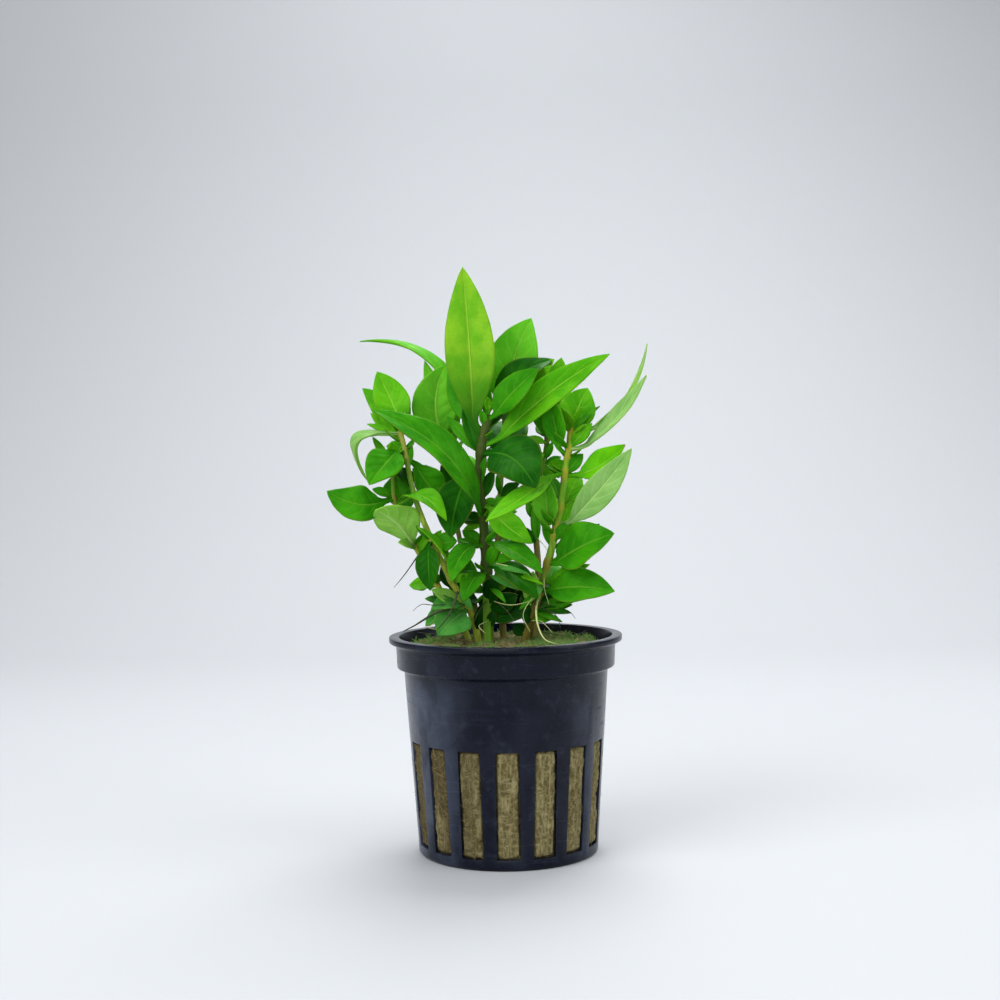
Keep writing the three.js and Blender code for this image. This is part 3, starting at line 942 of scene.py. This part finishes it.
def growBuds(grown):
    dice = random.Random(budSetup["seed"])
    for stem in stemRings:
        short = stem[len("stem_"):]
        tops = [stemLines[stem][-1]] * budSetup["tops"]
        axils = [leafLine(leaf)[0] for leaf in nodes if leaf.startswith("leaf_" + short)]
        rear = []
        if short in budSetup["rearStems"]:
            rear = stemLines[stem][budSetup["rearFrom"]::budSetup["rearEvery"]]
        places = tops + axils + rear
        for i, place in enumerate(places):
            foot = Vector(place[:3])
            leaf = growBud(dice, foot, i < len(tops), i >= len(tops + axils))
            grown.setdefault(short, []).append(leaf)


def dressYoung():
    grown = {}
    growShown(grown)
    growBuds(grown)
    for stem, leaves in grown.items():
        bunch = joined(leaves, "young_leaves_" + stem)
        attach(bunch, "root")


dressYoung()
print("young leaves grown")


# pot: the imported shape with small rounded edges

def makePotGroup():
    inputs = {"Plastic": paint(11, 15, 28), "Scuff": paint(34, 42, 62), "Dust And Sheen": paint(68, 76, 92)}
    tree, given = newGroup("mouldedPlastic", inputs)
    scuffs = ramp(tree, noiseNode(tree, 60, 5, (1, 1, 9), 0.65), 0.55, 0.8)
    color = mixColors(tree, mathNode(tree, "MULTIPLY", scuffs, 0.5), given["Plastic"], given["Scuff"])
    dust = ramp(tree, noiseNode(tree, 300, 8, (1, 1, 1), 0.75), 0.5, 0.8, 0.0, 0.3)
    color = mixColors(tree, dust, color, given["Dust And Sheen"])
    # partly dust and partly painted reflection: a pale film over the left and right flanks of the lower
    # band
    left = ramp(tree, placeNode(tree, "X"), -0.021, -0.006, 1.0, 0.12)
    band = ramp(tree, placeNode(tree, "Z"), 0.034, 0.046, 1.0, 0.15)
    clouds = ramp(tree, noiseNode(tree, 95, 5, (1, 1, 0.7), 0.6), 0.34, 0.68)
    right = ramp(tree, placeNode(tree, "X"), 0.012, 0.019, 0.0, 0.5)
    flanks = mathNode(tree, "MAXIMUM", left, right)
    dustAndSheen = mathNode(tree, "MULTIPLY", mathNode(tree, "MULTIPLY", flanks, band), clouds)
    color = mixColors(tree, mathNode(tree, "MULTIPLY", dustAndSheen, 0.9), color, given["Dust And Sheen"])
    return endGroup(tree, {"Color": color, "Height": noiseNode(tree, 3500, 2), "Dullness": scuffs})


potSetup = {
    "edge": 0.16 * mm,
    "edgeSteps": 2,
    "weld": 0.01 * mm,
    "flat": 1,             # degrees: faces that differ by less are one face
    "sharp": 25,           # degrees: edges sharper than this are rounded
    "smooth": 30,          # degrees: edges softer than this are shaded smooth
}
potFinish = {"roughness": 0.36, "specular": 0.17, "relief": 0.15, "depth": 0.05 * mm}


def dressPot():
    pot = copyOf(nodes["pot"], "pot_fine")
    pot.parent = None
    pot.data.materials.clear()
    weld(pot, potSetup["weld"])
    bpy.ops.mesh.dissolve_limited(angle_limit=math.radians(potSetup["flat"]))
    bpy.ops.object.mode_set(mode="OBJECT")
    applyModifier(
        pot, "BEVEL", width=potSetup["edge"], segments=potSetup["edgeSteps"],
        limit_method="ANGLE", angle_limit=math.radians(potSetup["sharp"]),
    )
    useOnly(pot)
    bpy.ops.object.shade_smooth_by_angle(angle=math.radians(potSetup["smooth"]))
    pot.data.materials.append(newMaterial("pot_plastic", makePotGroup(), {}, potFinish))
    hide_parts("pot")
    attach(pot, "root")


dressPot()
print("pot dressed")


# wool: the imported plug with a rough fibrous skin, loose fibres and moss

def makeWoolGroup():
    inputs = {
        "Fibre": paint(144, 136, 98),
        "Damp": paint(84, 76, 46),
        "Wet And Shade": paint(62, 52, 34),
        "Moss": paint(80, 108, 46),
        "Moss Height": 0.0455,
    }
    tree, given = newGroup("mineralWool", inputs)
    strands = noiseNode(tree, 1500, 5, (1, 1, 0.16), 0.7)
    across = noiseNode(tree, 1300, 5, (0.4, 1, 1), 0.7)
    tangle = mathNode(tree, "MAXIMUM", strands, across)
    color = mixColors(tree, ramp(tree, tangle, 0.42, 0.68), given["Damp"], given["Fibre"])
    soaked = ramp(tree, noiseNode(tree, 220, 4, (1, 1, 0.3)), 0.35, 0.6, 0.35, 1.0)
    # darker towards the left: damp patches and painted shade
    left = ramp(tree, placeNode(tree, "X"), -0.014, 0.002, 0.75, 0.1)
    color = mixColors(tree, mathNode(tree, "MULTIPLY", left, soaked), color, given["Wet And Shade"])
    top = ramp(tree, mathNode(tree, "SUBTRACT", placeNode(tree, "Z"), given["Moss Height"]), -0.001, 0.001)
    patches = ramp(tree, noiseNode(tree, 160, 4), 0.42, 0.6)
    right = ramp(tree, placeNode(tree, "X"), -0.006, 0.006, 0.3, 0.85)
    mossy = mathNode(tree, "MULTIPLY", mathNode(tree, "MULTIPLY", top, patches), right)
    color = mixColors(tree, mossy, color, given["Moss"])
    return endGroup(tree, {"Color": color, "Height": tangle, "Dullness": tangle})


woolSetup = {
    "voxel": 0.55 * mm,
    "top": 46 * mm,        # above it the skin is lifted, and below it the skin is sunk
    "lift": 0.9 * mm,
    "sink": 0.7 * mm,
    "sinkShare": 0.45,     # the even part of the sink
    "sinkTuft": 0.5,       # and the part that follows the tufts
    "grain": 900,          # of the tufts, per metre
    "coarse": 0.6,         # two sizes of tuft, as shares of the grain
    "fine": 1.7,
    "fineShare": 0.5,
}
woolFinish = {"roughness": 0.95, "specular": 0.15, "relief": 1.0, "depth": 0.5 * mm}
woolMaterial = newMaterial("wool", makeWoolGroup(), {}, woolFinish)


def tuftAt(point):
    place = point * woolSetup["grain"]
    coarse = noise.noise(place * woolSetup["coarse"])
    return coarse + woolSetup["fineShare"] * noise.noise(place * woolSetup["fine"])


def dressWool():
    wool = copyOf(nodes["wool"], "wool_fine")
    wool.parent = None
    wool.data.materials.clear()
    applyModifier(wool, "REMESH", mode="VOXEL", voxel_size=woolSetup["voxel"])
    for vertex in wool.data.vertices:
        tuft = tuftAt(vertex.co)
        if vertex.co.z > woolSetup["top"]:
            vertex.co.z += woolSetup["lift"] * tuft
        else:
            sink = woolSetup["sink"] * (woolSetup["sinkShare"] + woolSetup["sinkTuft"] * tuft)
            outward = Vector((vertex.co.x, vertex.co.y, 0)).normalized()
            vertex.co -= outward * max(0, sink)
    useOnly(wool)
    bpy.ops.object.shade_smooth()
    wool.data.materials.append(woolMaterial)
    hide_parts("wool")
    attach(wool, "root")
    return wool


wool = dressWool()
print("wool dressed")


# roots, thin lines that start on a stem

rootLooks = {
    "dark_roots": {"color": paint(52, 60, 30), "roughness": 0.7},
    "pale_roots": {"color": paint(178, 188, 120), "roughness": 0.55},
}
rootSetup = {"resolution": 1, "steps": 5, "taper": 0.7}
# a stem, the height on it, the radius and the points that the root runs through, all in mm
roots = {
    "dark_roots": [
        ("left_low", 69, 0.18, [(-23, -1, 64.5), (-25.5, -3, 61.5)]),
        ("left", 57, 0.4, [(-15, -6, 56.2), (-18.3, -5, 54.4), (-20.6, -5, 53), (-23.4, -5, 51.6)]),
        ("left", 57, 0.16, [(-16, -6, 57.6), (-19, -6, 57.8), (-21, -7, 56.4)]),
        ("left", 60, 0.3, [(-11.3, -9, 58.8), (-12.5, -9.5, 56), (-14.1, -9.5, 53.8), (-15.6, -9, 52.2)]),
        ("right", 58, 0.15, [(14, -5, 56), (16, -6, 54)]),
        ("right", 57, 0.15, [(11.5, -7, 55), (12.5, -7, 52)]),
        ("main", 59, 0.14, [(0, -6, 56.5), (2, -9, 54)]),
        ("main", 58, 0.14, [(-6, -6, 56), (-8, -9, 52)]),
        ("right_back", 50, 0.13, [(15.5, 8, 48.5), (19.5, 11, 49.5)]),
        ("left_low", 50, 0.13, [(-17.5, 4, 50), (-21, 8, 50)]),
    ],
    "pale_roots": [
        ("right", 59, 0.28, [(7, -9, 56), (7.5, -11, 52.5), (9, -13, 50), (12, -13, 49)]),
        ("main", 67, 0.13, [(0, -6, 66.5), (3.5, -9, 65.5), (7, -9, 63.5)]),
        ("main", 58, 0.13, [(0.5, -7, 57.5), (4, -9, 58), (7, -9, 59)]),
        ("left", 55, 0.14, [(-17.5, -2, 52.5), (-15.5, -6, 52)]),
        ("right_back", 72, 0.13, [(10, 2, 69.5), (10, -1, 67)]),
        ("main", 53, 0.12, [(-6, -9, 53), (-4.5, -11, 51.5)]),
        ("right", 53, 0.12, [(8, -10, 54), (10.5, -11, 51.5)]),
        ("right", 64, 0.12, [(9, -8, 61), (10, -8, 57.5)]),
        ("right", 60, 0.12, [(6, -9, 59), (4, -11, 55.5), (5.5, -13, 52)]),
    ],
}


def dressRoots():
    for name, look in rootLooks.items():
        strands = []
        for stem, height, radius, points in roots[name]:
            count = rootSetup["steps"] * len(points)
            foot = stemPoint("stem_" + stem, height * mm)
            line = smoothLine([foot] + [Vector(point) * mm for point in points], count)
            sizes = [radius * mm * (1 - rootSetup["taper"] * i / (count - 1)) for i in range(count)]
            strands.append((line, sizes))
        piece = addTubes(name, strands, rootSetup["resolution"])
        piece.data.materials.append(plainMaterial(name, look))
        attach(piece, "root")


dressRoots()
print("roots laid")


# loose fibres lie on the wool, and moss stands on its top

fibreSetup = {
    "seed": 7,
    "radius": 0.032 * mm,
    "resolution": 0,
    "topFrom": 46.5 * mm,
    "topSlope": 0.4,                   # least upward share of the skin's normal on the top
    "band": (2 * mm, 27 * mm),         # the heights where the slots show the wool
    "bandSlope": 0.5,                  # most upward or downward share of it in the slots
    "bandRadius": 20.2 * mm,
    "top": {"count": 900, "reach": (0.8, 2.4), "lift": (0.1, 0.5)},    # mm
    "side": {"count": 1100, "reach": (0.5, 1.3), "lift": (0.05, 0.05)},
}
mossSetup = {
    "tufts": 1100,
    "blades": 6,
    "patches": 160,                    # per metre
    "edge": 2 * mm,                    # the moss is thinner left of this, and thicker right of it
    "left": 0.12,                      # it grows where the noise is above these
    "right": -0.15,
    "rise": 1.5 * mm,
    "shortest": 0.35,                  # as a share of the rise
    "lean": (0.5, 1.2),                # upwards for one sideways
    "spread": 0.25,                    # mm
    "root": 0.1,                       # mm, below the wool's skin
    "tip": 0.1,                        # mm, added to each tip's height
    "radii": [0.13 * mm, 0.11 * mm, 0.02 * mm],
}
fibreLooks = {
    "wool_fibres": {"color": paint(132, 118, 76), "roughness": 0.85},
    "moss": {"color": paint(86, 124, 50), "roughness": 0.8},
}


def randomWay(dice, low, high):
    return Vector([dice.uniform(-1, 1), dice.uniform(-1, 1), dice.uniform(low, high)])


def layFibres(dice, spots, setup):
    strands = []
    for i in range(setup["count"]):
        place, normal = dice.choice(spots)
        along = normal.cross(randomWay(dice, -1, 1)).normalized()
        reach = dice.uniform(*setup["reach"]) * mm
        low, high = setup["lift"]
        lift = (low if low == high else dice.uniform(low, high)) * mm  # an even lift takes no draw
        ends = [place + along * reach * share + normal * lift * (1 - share * share) for share in (-1, 0, 1)]
        strands.append((ends, [fibreSetup["radius"]] * 3))
    return strands


def layMoss(dice, spots):
    tufts = []
    for i in range(mossSetup["tufts"]):
        place, normal = dice.choice(spots)
        bare = mossSetup["left"] if place.x < mossSetup["edge"] else mossSetup["right"]
        if noise.noise(place * mossSetup["patches"]) < bare:
            continue
        for number in range(mossSetup["blades"]):
            lean = randomWay(dice, *mossSetup["lean"]).normalized()
            height = mossSetup["rise"] * dice.uniform(mossSetup["shortest"], 1)
            side = Vector([dice.uniform(-1, 1), dice.uniform(-1, 1), 0]) * mossSetup["spread"] * mm
            foot = place + side - normal * mossSetup["root"] * mm
            middle = foot + lean * height * 0.5
            tip = foot + lean * height + Vector((0, 0, mossSetup["tip"] * mm))
            tufts.append(([foot, middle, tip], mossSetup["radii"]))
    return tufts


def dressFibres(wool):
    dice = random.Random(fibreSetup["seed"])
    low, high = fibreSetup["band"]
    spots = [(vertex.co.copy(), vertex.normal.copy()) for vertex in wool.data.vertices]
    tops = [spot for spot in spots if spot[0].z > fibreSetup["topFrom"]]
    tops = [spot for spot in tops if spot[1].z > fibreSetup["topSlope"]]
    sides = [spot for spot in spots if low < spot[0].z < high]
    sides = [spot for spot in sides if abs(spot[1].z) < fibreSetup["bandSlope"]]
    sides = [spot for spot in sides if Vector(spot[0][:2]).length > fibreSetup["bandRadius"]]
    strands = layFibres(dice, tops, fibreSetup["top"]) + layFibres(dice, sides, fibreSetup["side"])
    fibres = addTubes("wool_fibres", strands, fibreSetup["resolution"])
    moss = addTubes("moss", layMoss(dice, tops), fibreSetup["resolution"])
    for piece in (fibres, moss):
        piece.data.materials.append(plainMaterial(piece.name, fibreLooks[piece.name]))
        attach(piece, "root")


dressFibres(wool)
print("fibres and moss laid")

for master in (blade, youngBlade, rib, youngRib):
    bpy.data.objects.remove(master)
